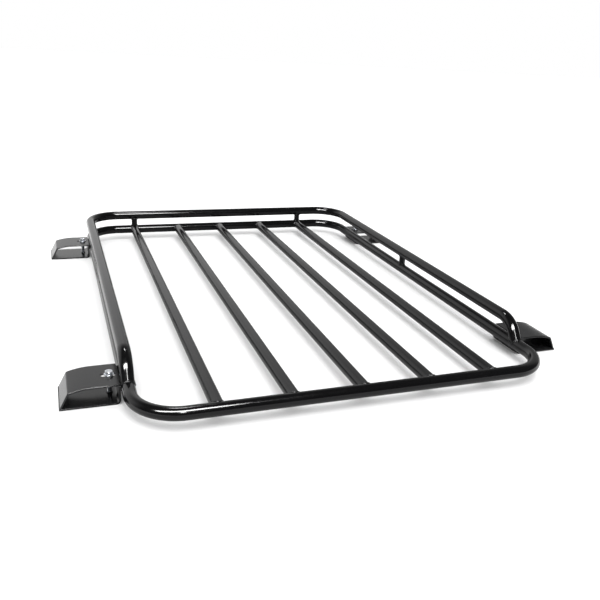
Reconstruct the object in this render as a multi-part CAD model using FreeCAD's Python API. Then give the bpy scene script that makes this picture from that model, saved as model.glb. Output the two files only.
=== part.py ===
"""Rigid tubular roof rack for luggage, with four adjustable gutter clamps.

A closed ring of bent tube carries five cross slats.  A U-shaped upper rail stands above its sides and back
on two rear posts and two side posts.  A clamp hangs outboard of each side tube near its ends: a welded
bracket below, a slotted jaw above, and a bolt, washer and threaded bush that draw the two together.

Units are millimetres.  +Z is up, +Y is the back of the rack, where the upper rail closes, and +X is its
right side.  The origin is on the ground, under the middle of the ring.
"""
import FreeCAD
import Part

import math
import os

V = FreeCAD.Vector

# ---- Frame ---------------------------------------------------------------------------------------------
TUBE_OD = 25.0              # ring and upper rail
TUBE_WALL = 1.5
RING_WIDTH = 813.0          # between the centrelines of the two side tubes
RING_LENGTH = 1153.0        # between the centrelines of the front and back tubes
CORNER_RADIUS = 82.0        # at the centreline of every corner
RAIL_RISE = 44.5            # upper rail's centreline above the ring's
RAIL_SETBACK = 174.0        # from the front tube to where the rail starts to bend down
RAIL_BEND_RADIUS = 57.0
RAIL_BEND_ANGLE = 57.0      # degrees below level

# ---- Slats and posts -----------------------------------------------------------------------------------
SLAT_COUNT = 5
SLAT_STEP = 1.0             # a slat's diameter below the ring's
SLAT_WALL = 1.2
POST_OD = 17.0
POST_WALL = 1.5
SIDE_POST_SETBACK = 64.0    # behind the rack's middle

# ---- Clamps --------------------------------------------------------------------------------------------
SHEET = 3.5                 # thickness of the bracket and the jaw
CLAMP_DEPTH = 86.0          # along the side tube
CLAMP_SETBACK = 147.5       # from the front or back tube to a clamp's middle, before its pair's shift
PAIR_SHIFT = {"left": 3.0, "right": 19.0}    # each side's two clamps, towards the back
GROUND_CLEARANCE = 18.0     # under the ring
JAW_ABOVE_CENTRE = 8.0      # top of the jaw above the ring's centreline
JAW_GAP = 1.0               # between the ring's side and the jaw's inboard edge
JAW_FLAT = 43.5             # end of the level stretch, from the ring's side
JAW_CROWN_RUN = 42.0        # curved stretch, measured level
JAW_CROWN_DROP = 6.3
JAW_CORNER_RADIUS = 6.0     # outside of the bend between the crown and the wall
JAW_WALL_LEAN = 27.0        # degrees out from upright
BRACKET_BEND_RADIUS = 8.5   # outside of the bend between the wall and the plate
BRACKET_LIP = 0.9           # bracket's plate past the jaw's foot

# ---- Fasteners: M8 hexagon bolt, 40 long, in a pressed bush --------------------------------------------
BOLT_SHANK_OD = 7.9
BOLT_END = 0.5              # above the ground
HEAD_FLATS = 13.0
HEAD_HEIGHT = 5.3
HEX_CHAMFER_ANGLE = 30.0    # degrees, on the corners of the head
HEX_CHAMFER_SHARE = 0.95    # diameter of the head's flat end over its flats
BUSH_WALL = 1.35
BUSH_FLANGE_RIM = 1.5       # past the barrel; the flange is sunk into the underside of the bracket's plate
BUSH_FLANGE_HEIGHT = 1.2
BUSH_PROUD = 2.0            # above the bracket's plate
WASHER_OD = 17.5
WASHER_THICKNESS = 2.0

# ---- Travel and clearances -----------------------------------------------------------------------------
JAW_REACH = 6.0             # outward slide of the jaw
SLOT_SPARE = 9.3            # slot past the bolt on its outboard side
SLOT_CLEARANCE = 1.05       # radial, round the shank in the jaw's slot
HOLE_CLEARANCE = 0.35       # radial, round the shank in the washer
THREAD_CLEARANCE = 0.2      # radial, between the shank and the bush's bore
BEND_CLEARANCE = 0.5        # between the bush's flange and the bracket's bend
POST_CLEARANCE = 0.3        # between a rear post's foot and the slat beside it

# ---- Derived sizes -------------------------------------------------------------------------------------
TUBE_R = TUBE_OD / 2
HALF_WIDTH = RING_WIDTH / 2
HALF_LENGTH = RING_LENGTH / 2
RING_Z = GROUND_CLEARANCE + TUBE_R
RAIL_Z = RING_Z + RAIL_RISE
SLAT_OD = TUBE_OD - SLAT_STEP
SLAT_PITCH = RING_WIDTH / (SLAT_COUNT + 1)
POST_X = SLAT_PITCH * (SLAT_COUNT - 1) / 2

CLAMP_X = HALF_WIDTH + TUBE_R
CLAMP_Y = HALF_LENGTH - CLAMP_SETBACK
JAW_TOP = RING_Z + JAW_ABOVE_CENTRE
JAW_UNDERSIDE = JAW_TOP - SHEET
SHANK_R = BOLT_SHANK_OD / 2
HOLE_R = SHANK_R + HOLE_CLEARANCE
SLOT_R = SHANK_R + SLOT_CLEARANCE
BUSH_BORE_R = SHANK_R + THREAD_CLEARANCE
BUSH_R = BUSH_BORE_R + BUSH_WALL
FLANGE_R = BUSH_R + BUSH_FLANGE_RIM
BOLT_X = CLAMP_X + BRACKET_BEND_RADIUS + BEND_CLEARANCE + FLANGE_R
HEAD_UNDERSIDE = JAW_TOP + WASHER_THICKNESS
BOLT_LENGTH = HEAD_UNDERSIDE - BOLT_END


def polar(centre, radius, degrees):
    """Point in the XZ plane at an angle from +X, turning towards +Z."""
    angle = math.radians(degrees)
    return centre + V(radius * math.cos(angle), 0, radius * math.sin(angle))


def line(start, end):
    return Part.LineSegment(start, end).toShape()


def arc(start, middle, end):
    return Part.Arc(start, middle, end).toShape()


def flat_corner(centre, radius, from_degrees, turn_degrees):
    """Arc in a level plane, with its angles measured from +X towards +Y."""
    angles = [math.radians(from_degrees + turn_degrees * share) for share in (0, 0.5, 1)]
    points = [centre + V(radius * math.cos(a), radius * math.sin(a), 0) for a in angles]
    return arc(*points)


def end_of(edge):
    return edge.valueAt(edge.LastParameter)


def swept_bar(edges, radius):
    """Solid round bar along straight runs and tangent arcs, listed in order from one end."""
    start = edges[0].valueAt(edges[0].FirstParameter)
    direction = edges[0].tangentAt(edges[0].FirstParameter)
    section = Part.Wire(Part.makeCircle(radius, start, direction))
    return Part.Wire(edges).makePipe(Part.Face(section))


def swept_tube(edges, outside, wall):
    return swept_bar(edges, outside / 2).cut(swept_bar(edges, outside / 2 - wall))


def straight_tube(start, end, outside, wall):
    return swept_tube([line(start, end)], outside, wall)


def solid_bar(start, end, radius):
    return Part.makeCylinder(radius, (end - start).Length, start, end - start)


def mirrored_left(shape):
    return shape.mirror(V(0, 0, 0), V(1, 0, 0))


# ---- Frame ---------------------------------------------------------------------------------------------
def front_hoop():
    """Front half of the ring: half of each side, both front corners and the front tube."""
    inset_x = HALF_WIDTH - CORNER_RADIUS
    inset_y = HALF_LENGTH - CORNER_RADIUS
    left_corner = flat_corner(V(-inset_x, -inset_y, RING_Z), CORNER_RADIUS, 180, 90)
    right_corner = flat_corner(V(inset_x, -inset_y, RING_Z), CORNER_RADIUS, 270, 90)
    edges = [
        line(V(-HALF_WIDTH, 0, RING_Z), V(-HALF_WIDTH, -inset_y, RING_Z)),
        left_corner,
        line(V(-inset_x, -HALF_LENGTH, RING_Z), V(inset_x, -HALF_LENGTH, RING_Z)),
        right_corner,
        line(V(HALF_WIDTH, -inset_y, RING_Z), V(HALF_WIDTH, 0, RING_Z)),
    ]
    return swept_tube(edges, TUBE_OD, TUBE_WALL)


def rear_hoop():
    """Back half of the ring, the front half's mirror image; the two are butt-welded at mid-length."""
    return front_hoop().mirror(V(0, 0, 0), V(0, 1, 0))


def rail_leg():
    """Front end of the rail's left side, from its foot on the ring up to the level run."""
    bend_y = -(HALF_LENGTH - RAIL_SETBACK)
    centre = V(-HALF_WIDTH, bend_y, RAIL_Z - RAIL_BEND_RADIUS)
    angle = math.radians(RAIL_BEND_ANGLE)

    def on_bend(turned):
        return centre + V(0, -RAIL_BEND_RADIUS * math.sin(turned), RAIL_BEND_RADIUS * math.cos(turned))

    bend = arc(on_bend(angle), on_bend(angle / 2), on_bend(0))
    slope = V(0, -math.cos(angle), -math.sin(angle))
    left_to_fall = on_bend(angle).z - RING_Z
    foot = on_bend(angle) + slope * (left_to_fall / math.sin(angle))
    return [line(foot, on_bend(angle)), bend]


def upper_rail():
    """U-shaped rail over the sides and back; each front end bends down and is coped onto the ring."""
    inset_x = HALF_WIDTH - CORNER_RADIUS
    inset_y = HALF_LENGTH - CORNER_RADIUS
    leg = rail_leg()
    level = end_of(leg[1])
    left_half = leg + [
        line(level, V(-HALF_WIDTH, inset_y, RAIL_Z)),
        flat_corner(V(-inset_x, inset_y, RAIL_Z), CORNER_RADIUS, 180, -90),
        line(V(-inset_x, HALF_LENGTH, RAIL_Z), V(0, HALF_LENGTH, RAIL_Z)),
    ]
    left = swept_tube(left_half, TUBE_OD, TUBE_WALL)
    side_bar = solid_bar(V(-HALF_WIDTH, -HALF_LENGTH, RING_Z), V(-HALF_WIDTH, HALF_LENGTH, RING_Z), TUBE_R)
    left = left.cut(side_bar)
    return left.fuse(mirrored_left(left)).removeSplitter()


def slat(index):
    """One cross slat, its ends coped to the front and back tubes of the ring."""
    x = (index - (SLAT_COUNT - 1) / 2) * SLAT_PITCH
    tube = straight_tube(V(x, -HALF_LENGTH, RING_Z), V(x, HALF_LENGTH, RING_Z), SLAT_OD, SLAT_WALL)
    for y in (-HALF_LENGTH, HALF_LENGTH):
        tube = tube.cut(solid_bar(V(x - SLAT_OD, y, RING_Z), V(x + SLAT_OD, y, RING_Z), TUBE_R))
    return tube


def post(x, y, along):
    """Short post from the ring up to the upper rail, coped to the tubes that run along a direction."""
    tube = straight_tube(V(x, y, RING_Z), V(x, y, RAIL_Z), POST_OD, POST_WALL)
    for z in (RING_Z, RAIL_Z):
        middle = V(x, y, z)
        tube = tube.cut(solid_bar(middle - along * POST_OD, middle + along * POST_OD, TUBE_R))
    return tube


def rear_post(x):
    """Post on the back tube at the end of a slat, with its foot cut clear of the slat."""
    slat_end = V(x, HALF_LENGTH, RING_Z)
    cutter = solid_bar(slat_end - V(0, POST_OD, 0), slat_end, SLAT_OD / 2 + POST_CLEARANCE)
    return post(x, HALF_LENGTH, V(1, 0, 0)).cut(cutter)


def side_post(x):
    """Post on a side tube, a little behind the seam between the two hoops."""
    return post(x, SIDE_POST_SETBACK, V(0, 1, 0))


# ---- One clamp, on the right side, centred on y = 0 ----------------------------------------------------
def extruded_profile(edges):
    """Sheet part from its outline in the XZ plane, as deep as the clamp."""
    face = Part.Face(Part.Wire(edges))
    face.translate(V(0, -CLAMP_DEPTH / 2, 0))
    return face.extrude(V(0, CLAMP_DEPTH, 0))


def jaw_crown():
    """Radius and end angle of the jaw's curved stretch, from its run and drop."""
    radius = (JAW_CROWN_RUN ** 2 + JAW_CROWN_DROP ** 2) / (2 * JAW_CROWN_DROP)
    return radius, math.degrees(math.asin(JAW_CROWN_RUN / radius))


def jaw_surface(depth):
    """Points of the jaw's outline at a depth below its outer face, from the inboard edge to the foot."""
    crown_radius, crown_angle = jaw_crown()
    knee_x = CLAMP_X + JAW_FLAT
    crown_centre = V(knee_x, 0, JAW_TOP - crown_radius)
    corner_centre = polar(crown_centre, crown_radius - JAW_CORNER_RADIUS, 90 - crown_angle)
    radius = crown_radius - depth
    corner = JAW_CORNER_RADIUS - depth
    wall_top = polar(corner_centre, corner, JAW_WALL_LEAN)
    fall = wall_top.z - SHEET
    return {
        "edge": V(CLAMP_X + JAW_GAP, 0, JAW_TOP - depth),
        "knee": polar(crown_centre, radius, 90),
        "crown": polar(crown_centre, radius, 90 - crown_angle / 2),
        "crown_end": polar(crown_centre, radius, 90 - crown_angle),
        "corner": polar(corner_centre, corner, (90 - crown_angle + JAW_WALL_LEAN) / 2),
        "wall_top": wall_top,
        "foot": wall_top + V(fall * math.tan(math.radians(JAW_WALL_LEAN)), 0, -fall),
    }


def jaw():
    """Upper jaw: a slotted plate over the bracket's wall, crowned down to a leaning outer wall."""
    top = jaw_surface(0)
    under = jaw_surface(SHEET)
    outline = [
        line(top["edge"], top["knee"]),
        arc(top["knee"], top["crown"], top["crown_end"]),
        arc(top["crown_end"], top["corner"], top["wall_top"]),
        line(top["wall_top"], top["foot"]),
        line(top["foot"], under["foot"]),
        line(under["foot"], under["wall_top"]),
        arc(under["wall_top"], under["corner"], under["crown_end"]),
        arc(under["crown_end"], under["crown"], under["knee"]),
        line(under["knee"], under["edge"]),
        line(under["edge"], top["edge"]),
    ]
    return extruded_profile(outline).cut(slot_cutter())


def slot_cutter():
    """Round-ended slot through the jaw's plate, along its slide."""
    inner_x = BOLT_X - JAW_REACH
    outer_x = BOLT_X + SLOT_SPARE
    low = JAW_UNDERSIDE - SHEET
    height = 3 * SHEET
    cutter = Part.makeBox(outer_x - inner_x, 2 * SLOT_R, height, V(inner_x, -SLOT_R, low))
    for x in (inner_x, outer_x):
        cutter = cutter.fuse(Part.makeCylinder(SLOT_R, height, V(x, 0, low)))
    return cutter.removeSplitter()


def bracket():
    """Lower bracket: a wall welded to the side tube, bent out into the plate that the rack stands on."""
    centre = V(CLAMP_X + BRACKET_BEND_RADIUS, 0, BRACKET_BEND_RADIUS)
    inside = BRACKET_BEND_RADIUS - SHEET
    edge_x = jaw_surface(0)["foot"].x + BRACKET_LIP
    outline = [
        line(V(CLAMP_X, 0, JAW_UNDERSIDE), polar(centre, BRACKET_BEND_RADIUS, 180)),
        arc(*[polar(centre, BRACKET_BEND_RADIUS, angle) for angle in (180, 225, 270)]),
        line(polar(centre, BRACKET_BEND_RADIUS, 270), V(edge_x, 0, 0)),
        line(V(edge_x, 0, 0), V(edge_x, 0, SHEET)),
        line(V(edge_x, 0, SHEET), polar(centre, inside, 270)),
        arc(*[polar(centre, inside, angle) for angle in (270, 225, 180)]),
        line(polar(centre, inside, 180), V(CLAMP_X + SHEET, 0, JAW_UNDERSIDE)),
        line(V(CLAMP_X + SHEET, 0, JAW_UNDERSIDE), V(CLAMP_X, 0, JAW_UNDERSIDE)),
    ]
    return extruded_profile(outline).cut(bush_body())


def bolt_head():
    """Hexagonal head on the bolt's axis, its upper corners turned off at the chamfer angle."""
    corner_radius = HEAD_FLATS / math.sqrt(3)
    corners = []
    for step in range(7):
        angle = math.radians(30 + 60 * step)
        around = V(corner_radius * math.cos(angle), corner_radius * math.sin(angle), 0)
        corners.append(V(BOLT_X, 0, HEAD_UNDERSIDE) + around)
    prism = Part.Face(Part.makePolygon(corners)).extrude(V(0, 0, HEAD_HEIGHT))
    end_radius = HEAD_FLATS / 2 * HEX_CHAMFER_SHARE
    base_radius = end_radius + HEAD_HEIGHT / math.tan(math.radians(HEX_CHAMFER_ANGLE))
    return prism.common(Part.makeCone(base_radius, end_radius, HEAD_HEIGHT, V(BOLT_X, 0, HEAD_UNDERSIDE)))


def bolt():
    head = bolt_head()
    shank = Part.makeCylinder(SHANK_R, BOLT_LENGTH, V(BOLT_X, 0, HEAD_UNDERSIDE - BOLT_LENGTH))
    return head.fuse(shank)


def washer():
    disc = Part.makeCylinder(WASHER_OD / 2, WASHER_THICKNESS, V(BOLT_X, 0, JAW_TOP))
    return disc.cut(Part.makeCylinder(HOLE_R, WASHER_THICKNESS, V(BOLT_X, 0, JAW_TOP)))


def bush_body():
    """Outer shape of the bush: a flange flush with the plate's underside and a barrel through the plate."""
    flange = Part.makeCylinder(FLANGE_R, BUSH_FLANGE_HEIGHT, V(BOLT_X, 0, 0))
    return flange.fuse(Part.makeCylinder(BUSH_R, SHEET + BUSH_PROUD, V(BOLT_X, 0, 0)))


def bush():
    """Threaded bush, pressed up into the bracket's plate from below."""
    return bush_body().cut(Part.makeCylinder(BUSH_BORE_R, SHEET + BUSH_PROUD, V(BOLT_X, 0, 0)))


def clamp_at(side, end):
    """The five pieces of one clamp, named for its corner of the rack."""
    y = PAIR_SHIFT[side] + (-CLAMP_Y if end == "front" else CLAMP_Y)
    pieces = {}
    for make in (bracket, jaw, bolt, washer, bush):
        shape = make()
        shape.translate(V(0, y, 0))
        if side == "left":
            shape = mirrored_left(shape)
        pieces[f"{make.__name__}_{end}_{side}"] = shape
    return pieces


def build_nodes():
    nodes = {
        "front_hoop": front_hoop(),
        "rear_hoop": rear_hoop(),
        "upper_rail": upper_rail(),
        "rear_post_left": rear_post(-POST_X),
        "rear_post_right": rear_post(POST_X),
        "side_post_left": side_post(-HALF_WIDTH),
        "side_post_right": side_post(HALF_WIDTH),
    }
    for index in range(SLAT_COUNT):
        nodes[f"slat_{index + 1}"] = slat(index)
    for end in ("front", "rear"):
        for side in ("left", "right"):
            nodes.update(clamp_at(side, end))
    return nodes


def main():
    os.makedirs("parts", exist_ok=True)
    for name, shape in build_nodes().items():
        if not shape.isValid() or len(shape.Solids) != 1:
            raise ValueError(f"{name} is not one valid solid")
        shape.Solids[0].exportStep(f"parts/{name}.step")
        box = shape.BoundBox
        print(f"{name}: {shape.Volume / 1000:.1f} cm3, x {box.XMin:.1f}..{box.XMax:.1f}, "
              f"y {box.YMin:.1f}..{box.YMax:.1f}, z {box.ZMin:.2f}..{box.ZMax:.2f}")


main()
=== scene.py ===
"""Looks for a rigid tubular roof rack: ring, slats, upper rail, posts, welds and four gutter clamps."""

import logging
import math
from dataclasses import dataclass
from enum import Enum
from typing import Callable, Iterable, Sequence

import bmesh
import bpy
from mathutils import Matrix, Vector, noise


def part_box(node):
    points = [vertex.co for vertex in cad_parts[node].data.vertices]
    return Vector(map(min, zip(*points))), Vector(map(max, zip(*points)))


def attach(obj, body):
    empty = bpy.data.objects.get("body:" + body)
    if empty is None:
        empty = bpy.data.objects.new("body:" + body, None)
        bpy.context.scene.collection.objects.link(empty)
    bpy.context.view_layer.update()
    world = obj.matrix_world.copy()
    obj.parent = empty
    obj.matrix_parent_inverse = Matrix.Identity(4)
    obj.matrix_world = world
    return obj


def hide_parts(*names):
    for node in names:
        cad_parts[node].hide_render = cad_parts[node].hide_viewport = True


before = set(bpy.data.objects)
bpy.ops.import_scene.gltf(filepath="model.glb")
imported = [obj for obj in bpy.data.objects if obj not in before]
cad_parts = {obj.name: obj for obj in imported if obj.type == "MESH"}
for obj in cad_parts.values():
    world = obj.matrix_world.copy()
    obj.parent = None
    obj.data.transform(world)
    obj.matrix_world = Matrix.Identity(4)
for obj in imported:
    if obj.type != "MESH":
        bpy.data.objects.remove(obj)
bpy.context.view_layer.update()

LOG = logging.getLogger("roof_rack")
MM = 0.001


class Named(Enum):
    """A choice that the CAD nodes' names spell out."""

    @property
    def word(self) -> str:
        """The choice's name as the CAD nodes write it."""
        return self.name.lower()


class Side(Named):
    """The two sides of the rack, with the sign of their X."""

    LEFT = -1
    RIGHT = 1


class End(Named):
    """The two ends of the rack, with the sign of their Y."""

    FRONT = -1
    REAR = 1


class TubeEnd(Enum):
    """The two ends of a tube's route, with their place in its list of stations."""

    START = 0
    FINISH = -1


class Coat(Enum):
    """The record's material slots."""

    FRAME = "frame_black"
    CLAMP = "clamp_black"
    ZINC = "zinc"


# Short names for types
Tree = bpy.types.NodeTree
Node = bpy.types.Node
Socket = bpy.types.NodeSocket
Colour = tuple[float, float, float, float]
Flat = tuple[float, float]
Mesh = bmesh.types.BMesh
Ring = list[bmesh.types.BMVert]
Row = Callable[[float], Flat]

# Directions and angles. No bead runs along OFF_AXIS.
ACROSS = Vector((1, 0, 0))
LENGTHWISE = Vector((0, 1, 0))
UPRIGHT = Vector((0, 0, 1))
OFF_AXIS = Vector((0.21, 0.35, 0.91))
FULL_TURN = 2 * math.pi
RIGHT_ANGLE = math.pi / 2

# The flat end of a hexagon as a share of its flats, the mottle's usual range, and rows in a turn of thread
HEXAGON_FACE = 0.95
MOTTLED = (0.35, 0.65)
ROWS_PER_TURN = 8


# ---- Shader nodes ------------------------------------------------------------------------------------------
def feed(tree: Tree, value: float | Colour | Socket, target: Socket) -> None:
    """Links a socket to another, or sets it to a plain value.

    Args:
        tree: The node tree.
        value: The socket, number or colour.
        target: The input that takes it.
    """
    if isinstance(value, Socket):
        tree.links.new(value, target)
    else:
        target.default_value = value


def add_node(tree: Tree, kind: str, **settings: object) -> Node:
    """Adds a shader node and fills its settings and sockets.

    Args:
        tree: The node tree that gets the node.
        kind: The node's class, without its ShaderNode prefix.
        settings: Attributes by name, or socket values by name with spaces written as underscores.

    Returns:
        The new node.
    """
    node = tree.nodes.new("ShaderNode" + kind)
    for name, value in settings.items():
        if hasattr(node, name):
            setattr(node, name, value)
        else:
            node.inputs[name.replace("_", " ")].default_value = value
    return node


def maths(tree: Tree, operation: str, *values: float | Socket) -> Socket:
    """Adds a Math node.

    Args:
        tree: The node tree.
        operation: The node's operation.
        values: Its inputs in order, each a number or a socket.

    Returns:
        The node's output.
    """
    node = add_node(tree, "Math", operation=operation)
    for target, value in zip(node.inputs, values):
        feed(tree, value, target)
    return node.outputs[0]


def product(tree: Tree, first: float | Socket, second: float | Socket) -> Socket:
    """Two values multiplied."""
    return maths(tree, "MULTIPLY", first, second)


def total(tree: Tree, first: float | Socket, second: float | Socket) -> Socket:
    """Two values added."""
    return maths(tree, "ADD", first, second)


def ranged(tree: Tree, value: Socket, low: float, high: float, out_low: float, out_high: float) -> Socket:
    """Maps a value from one range to another, clamped.

    Args:
        tree: The node tree.
        value: The socket that is mapped.
        low: The input that gives out_low.
        high: The input that gives out_high.
        out_low: The lowest output.
        out_high: The highest output.

    Returns:
        The mapped output.
    """
    node = add_node(tree, "MapRange", From_Min=low, From_Max=high, To_Min=out_low, To_Max=out_high)
    feed(tree, value, node.inputs["Value"])
    return node.outputs["Result"]


def blended(tree: Tree, share: Socket, first: Colour | Socket, second: Colour | Socket) -> Socket:
    """Mixes two colours.

    Args:
        tree: The node tree.
        share: How much of the second colour shows.
        first: A colour or a socket.
        second: A colour or a socket.

    Returns:
        The mixed colour.
    """
    node = add_node(tree, "Mix", data_type="RGBA")
    feed(tree, share, node.inputs["Factor"])
    colours = [socket for socket in node.inputs if socket.type == "RGBA"]
    for target, value in zip(colours, (first, second)):
        feed(tree, value, target)
    return next(socket for socket in node.outputs if socket.type == "RGBA")


def new_group(name: str, inputs: dict[str, float], outputs: Iterable[str]) -> tuple[Tree, Node, Node]:
    """Starts a shader node group with plain number sockets.

    Args:
        name: The group's name.
        inputs: Each input's name and its usual value.
        outputs: The outputs' names.

    Returns:
        The tree, its input node and its output node.
    """
    tree = bpy.data.node_groups.new(name, "ShaderNodeTree")
    for label, value in inputs.items():
        socket = tree.interface.new_socket(label, in_out="INPUT", socket_type="NodeSocketFloat")
        socket.default_value = value
    for label in outputs:
        tree.interface.new_socket(label, in_out="OUTPUT", socket_type="NodeSocketFloat")
    return tree, tree.nodes.new("NodeGroupInput"), tree.nodes.new("NodeGroupOutput")


def noise_at(tree: Tree, vector: Socket, scale: float | Socket, detail: float = 2.0) -> Socket:
    """A noise value over the surface.

    Args:
        tree: The node tree.
        vector: The coordinates.
        scale: Cycles per metre, as a number or a socket.
        detail: The noise's octaves.

    Returns:
        The noise, about 0 to 1.
    """
    node = add_node(tree, "TexNoise", Detail=detail, Roughness=0.55)
    feed(tree, vector, node.inputs["Vector"])
    feed(tree, scale, node.inputs["Scale"])
    return node.outputs["Fac"]


def object_coordinates(tree: Tree) -> Socket:
    """The piece's own coordinates, in metres."""
    return add_node(tree, "TexCoord").outputs["Object"]


def orange_peel_group() -> Tree:
    """The soft ripple of sprayed powder, with the finer grit inside it.

    Returns:
        The group's tree.
    """
    usual = {"Wave": 420.0, "Grit": 2600.0, "Grit Share": 0.2}
    tree, entry, leave = new_group("orange_peel", usual, ["Height"])
    coords = object_coordinates(tree)
    wave = noise_at(tree, coords, entry.outputs["Wave"], detail=1.0)
    grit = noise_at(tree, coords, entry.outputs["Grit"])
    feed(tree, total(tree, wave, product(tree, grit, entry.outputs["Grit Share"])), leave.inputs["Height"])
    return tree


def edge_wear_group() -> Tree:
    """A mask of the outer edges, broken up by noise, where a coat rubs thin.

    Returns:
        The group's tree.
    """
    usual = {"Edge": 0.53, "Spread": 0.05, "Amount": 0.5}
    tree, entry, leave = new_group("edge_wear", usual, ["Mask"])
    pointed = add_node(tree, "NewGeometry").outputs["Pointiness"]
    above = maths(tree, "SUBTRACT", pointed, entry.outputs["Edge"])
    edge = maths(tree, "DIVIDE", above, entry.outputs["Spread"])
    chips = noise_at(tree, object_coordinates(tree), 190.0, detail=4.0)
    worn = product(tree, edge, ranged(tree, chips, 0.42, 0.66, 0.0, 1.0))
    limited = add_node(tree, "Clamp")
    feed(tree, product(tree, worn, entry.outputs["Amount"]), limited.inputs["Value"])
    feed(tree, limited.outputs[0], leave.inputs["Mask"])
    return tree


def dust_group() -> Tree:
    """A thin film of dust that settles on faces that look up, in soft patches with a few specks.

    Returns:
        The group's tree.
    """
    tree, entry, leave = new_group("settled_dust", {"Film": 0.1, "Specks": 0.3}, ["Mask"])
    coords = object_coordinates(tree)
    facing = add_node(tree, "SeparateXYZ")
    feed(tree, add_node(tree, "NewGeometry").outputs["Normal"], facing.inputs[0])
    upward = ranged(tree, facing.outputs["Z"], 0.2, 0.95, 0.0, 1.0)
    patches = ranged(tree, noise_at(tree, coords, 26.0, detail=4.0), 0.35, 0.75, 0.2, 1.0)
    grains = ranged(tree, noise_at(tree, coords, 1500.0, detail=1.0), 0.74, 0.8, 0.0, 1.0)
    film = product(tree, patches, entry.outputs["Film"])
    specks = product(tree, grains, entry.outputs["Specks"])
    feed(tree, product(tree, total(tree, film, specks), upward), leave.inputs["Mask"])
    return tree


def scuff_group() -> Tree:
    """Fine hair scratches, long in one direction and very narrow across it.

    Returns:
        The group's tree.
    """
    usual = {"Across": 900.0, "Along": 24.0, "Amount": 0.5}
    tree, entry, leave = new_group("hair_scratches", usual, ["Mask"])
    slanted = add_node(tree, "Mapping", Rotation=(0.5, 0.9, 0.35))
    feed(tree, object_coordinates(tree), slanted.inputs["Vector"])
    stretch = add_node(tree, "CombineXYZ")
    for axis, name in zip("XYZ", ("Across", "Along", "Across")):
        feed(tree, entry.outputs[name], stretch.inputs[axis])
    scaled = add_node(tree, "VectorMath", operation="MULTIPLY")
    for target, source in zip(scaled.inputs, (slanted, stretch)):
        feed(tree, source.outputs[0], target)
    hairs = ranged(tree, noise_at(tree, scaled.outputs[0], 1.0, detail=1.0), 0.7, 0.78, 0.0, 1.0)
    feed(tree, product(tree, hairs, entry.outputs["Amount"]), leave.inputs["Mask"])
    return tree


def mottle_group() -> Tree:
    """Slow and quick patches together, for a coat that isn't quite even.

    Returns:
        The group's tree.
    """
    tree, entry, leave = new_group("mottle", {"Slow": 9.0, "Quick": 160.0}, ["Value"])
    coords = object_coordinates(tree)
    slow, quick = (noise_at(tree, coords, entry.outputs[name], detail=3.0) for name in ("Slow", "Quick"))
    feed(tree, product(tree, total(tree, slow, quick), 0.5), leave.inputs["Value"])
    return tree


class Effects:
    """The shared node groups, each made once."""

    makers: dict[str, Callable[[], Tree]] = {
        "orange_peel": orange_peel_group,
        "edge_wear": edge_wear_group,
        "settled_dust": dust_group,
        "hair_scratches": scuff_group,
        "mottle": mottle_group,
    }

    def __init__(self) -> None:
        """Builds every group."""
        self.trees = {name: make() for name, make in self.makers.items()}

    def place(self, tree: Tree, name: str, **values: float) -> Socket:
        """Puts a group into a material.

        Args:
            tree: The material's node tree.
            name: The group's name.
            values: Input values by name, with spaces written as underscores.

        Returns:
            The group's one output.
        """
        node = tree.nodes.new("ShaderNodeGroup")
        node.node_tree = self.trees[name]
        for label, value in values.items():
            node.inputs[label.replace("_", " ")].default_value = value
        return node.outputs[0]


def blank_material(name: str) -> tuple[bpy.types.Material, Tree, Node]:
    """A material with one Principled shader.

    Args:
        name: The material's name.

    Returns:
        The material, its tree and its Principled node.
    """
    material = bpy.data.materials.new(name)
    material.use_nodes = True
    tree = material.node_tree
    return material, tree, tree.nodes["Principled BSDF"]


def bump(tree: Tree, height: Socket, shader: Node, distance: float, strength: float) -> None:
    """Bends the shader's normal by a height in metres.

    Args:
        tree: The material's tree.
        height: The height, about 0 to 1.
        shader: The Principled node.
        distance: The height's full depth, in metres.
        strength: The bump's strength.
    """
    node = add_node(tree, "Bump", Strength=strength, Distance=distance)
    feed(tree, height, node.inputs["Height"])
    feed(tree, node.outputs["Normal"], shader.inputs["Normal"])


# ---- Finishes ----------------------------------------------------------------------------------------------
@dataclass(frozen=True)
class PowderCoat:
    """Black powder coat: orange peel, faint mottling, settled dust and a little wear at the edges."""

    name: str
    deep: Colour
    pale: Colour
    smooth: float
    rough: float
    peel_depth: float
    wear: float
    dust: float
    ior: float = 1.38
    primer: Colour = (0.11, 0.112, 0.115, 1.0)
    dust_tone: Colour = (0.42, 0.41, 0.39, 1.0)
    scuff_dulling: float = 0.12
    dust_dulling: float = 0.5

    def material(self, effects: Effects) -> bpy.types.Material:
        """Builds the coat.

        Args:
            effects: The shared node groups.

        Returns:
            The finished material.
        """
        material, tree, shader = blank_material(self.name)
        patches = effects.place(tree, "mottle")
        wear = effects.place(tree, "edge_wear", Amount=self.wear)
        dust = effects.place(tree, "settled_dust", Film=self.dust, Specks=self.dust * 2)
        hairs = effects.place(tree, "hair_scratches", Amount=0.35)
        paint = blended(tree, patches, self.deep, self.pale)
        primed = blended(tree, wear, paint, self.primer)
        feed(tree, blended(tree, dust, primed, self.dust_tone), shader.inputs["Base Color"])
        even = ranged(tree, patches, *MOTTLED, self.smooth, self.rough)
        scuffed = total(tree, even, product(tree, hairs, self.scuff_dulling))
        dulled = total(tree, scuffed, product(tree, dust, self.dust_dulling))
        feed(tree, dulled, shader.inputs["Roughness"])
        shader.inputs["IOR"].default_value = self.ior
        bump(tree, effects.place(tree, "orange_peel"), shader, self.peel_depth, 0.6)
        return material


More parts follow.
